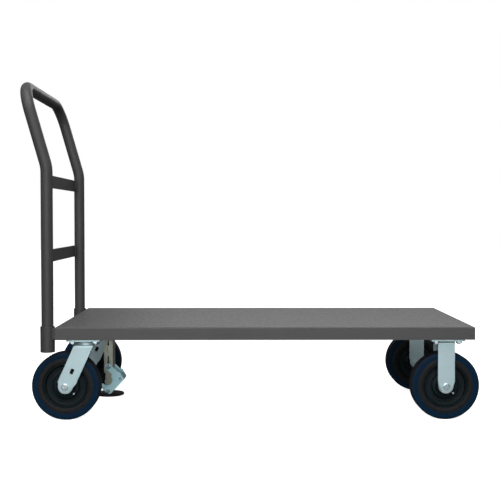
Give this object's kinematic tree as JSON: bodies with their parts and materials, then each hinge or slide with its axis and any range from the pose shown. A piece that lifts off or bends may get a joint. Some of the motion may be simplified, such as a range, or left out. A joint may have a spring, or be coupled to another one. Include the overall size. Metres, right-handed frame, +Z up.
{
  "type": "platform truck",
  "caption": "Flat steel platform truck with a lift-out tube handle at one end, swivel and rigid casters with blue treads, and a pedal floor lock.",
  "frame": {"origin": "on the floor, under the middle of the overall length and width", "axes": "+X along the deck away from the handle, +Y across it to the pusher's left, +Z up"},
  "size_m": [1.3506, 0.6096, 0.9955],
  "materials": {
    "grey_paint": "satin powder coat",
    "zinc_plate": "clear zinc plate",
    "bright_zinc": "bright zinc plate",
    "bearing_steel": "ground steel, oiled",
    "blue_tread": "smooth elastic rubber",
    "black_core": "moulded nylon, satin",
    "lock_zinc": "yellow-grey zinc plate",
    "pedal_zinc": "blue-bright zinc plate",
    "black_rubber": "matte",
    "black_steel": "satin black"
  },
  "bodies": {
    "deck": {"deck_pan": "grey_paint", "rear_bolster": "grey_paint", "front_bolster": "grey_paint", "deck_stringers": "grey_paint", "handle_socket_right": "grey_paint", "handle_socket_left": "grey_paint", "mounting_bolts": "bright_zinc", "mounting_nuts": "bright_zinc", "swivel_plate_right": "zinc_plate", "swivel_plate_left": "zinc_plate", "kingpins": "bright_zinc", "rigid_plate_right": "zinc_plate", "rigid_plate_left": "zinc_plate", "rigid_fork_right": "zinc_plate", "rigid_fork_left": "zinc_plate", "rigid_axle_bolts": "bright_zinc", "rigid_axle_nuts": "bright_zinc", "rigid_bushings": "bearing_steel", "rigid_washers": "bright_zinc", "lock_frame": "lock_zinc", "lock_upper_pin": "bright_zinc", "lock_spring": "bright_zinc"},
    "handle": {"handle_tube": "grey_paint", "upper_crossbar": "grey_paint", "lower_crossbar": "grey_paint"},
    "swivel_right": {"swivel_fork_right": "zinc_plate", "swivel_balls_right": "bearing_steel", "swivel_axle_bolt_right": "bright_zinc", "swivel_axle_nut_right": "bright_zinc", "swivel_bushing_right": "bearing_steel", "swivel_washers_right": "bright_zinc"},
    "swivel_wheel_right": {"tread_swivel_right": "blue_tread", "core_swivel_right": "black_core", "bearing_swivel_right": "bearing_steel", "grease_fitting_swivel_right": "bright_zinc"},
    "rigid_wheel_right": {"tread_rigid_right": "blue_tread", "core_rigid_right": "black_core", "bearing_rigid_right": "bearing_steel", "grease_fitting_rigid_right": "bright_zinc"},
    "swivel_left": {"swivel_fork_left": "zinc_plate", "swivel_balls_left": "bearing_steel", "swivel_axle_bolt_left": "bright_zinc", "swivel_axle_nut_left": "bright_zinc", "swivel_bushing_left": "bearing_steel", "swivel_washers_left": "bright_zinc"},
    "swivel_wheel_left": {"tread_swivel_left": "blue_tread", "core_swivel_left": "black_core", "bearing_swivel_left": "bearing_steel", "grease_fitting_swivel_left": "bright_zinc"},
    "rigid_wheel_left": {"tread_rigid_left": "blue_tread", "core_rigid_left": "black_core", "bearing_rigid_left": "bearing_steel", "grease_fitting_rigid_left": "bright_zinc"},
    "lock_ram": {"lock_ram": "lock_zinc", "lock_foot_disc": "black_steel", "lock_foot_pad": "black_rubber", "lock_lower_pin": "bright_zinc"},
    "lock_pedal": {"lock_pedal": "pedal_zinc", "lock_knee_rivets": "bright_zinc"},
    "lock_links": {"lock_links": "pedal_zinc"}
  },
  "joints": [
    {"name": "handle_lift", "type": "slide", "parent": "deck", "child": "handle", "axis": [0, 0, 1], "range_m": [0, 0.072]},
    {"name": "swivel_turn_right", "type": "hinge", "parent": "deck", "child": "swivel_right", "pos_m": [-0.48318, -0.244, 0.231], "axis": [0, 0, 1], "continuous": true},
    {"name": "swivel_wheel_spin_right", "type": "hinge", "parent": "swivel_right", "child": "swivel_wheel_right", "pos_m": [-0.54118, -0.244, 0.1], "axis": [0, 1, 0], "continuous": true},
    {"name": "rigid_wheel_spin_right", "type": "hinge", "parent": "deck", "child": "rigid_wheel_right", "pos_m": [0.57532, -0.244, 0.1], "axis": [0, 1, 0], "continuous": true},
    {"name": "swivel_turn_left", "type": "hinge", "parent": "deck", "child": "swivel_left", "pos_m": [-0.48318, 0.244, 0.231], "axis": [0, 0, 1], "continuous": true},
    {"name": "swivel_wheel_spin_left", "type": "hinge", "parent": "swivel_left", "child": "swivel_wheel_left", "pos_m": [-0.54118, 0.244, 0.1], "axis": [0, 1, 0], "continuous": true},
    {"name": "rigid_wheel_spin_left", "type": "hinge", "parent": "deck", "child": "rigid_wheel_left", "pos_m": [0.57532, 0.244, 0.1], "axis": [0, 1, 0], "continuous": true},
    {"name": "lock_slide", "type": "slide", "parent": "deck", "child": "lock_ram", "axis": [0, 0, -1], "range_m": [0, 0.027], "stiffness_N_per_m": 1200, "springref_m": -0.035, "deforming": ["lock_spring"]},
    {"name": "pedal_turn", "type": "hinge", "parent": "lock_ram", "child": "lock_pedal", "pos_m": [-0.44818, 0, 0.045], "axis": [0, -1, 0], "range_deg": [0, 29]},
    {"name": "link_turn", "type": "hinge", "parent": "deck", "child": "lock_links", "pos_m": [-0.44818, 0, 0.1215], "axis": [0, 1, 0], "range_deg": [0, 29]}
  ],
  "couplings": [
    {"joint": "pedal_turn", "follows": "lock_slide", "rad_per_m": 18.431},
    {"joint": "link_turn", "follows": "lock_slide", "rad_per_m": 18.431}
  ]
}
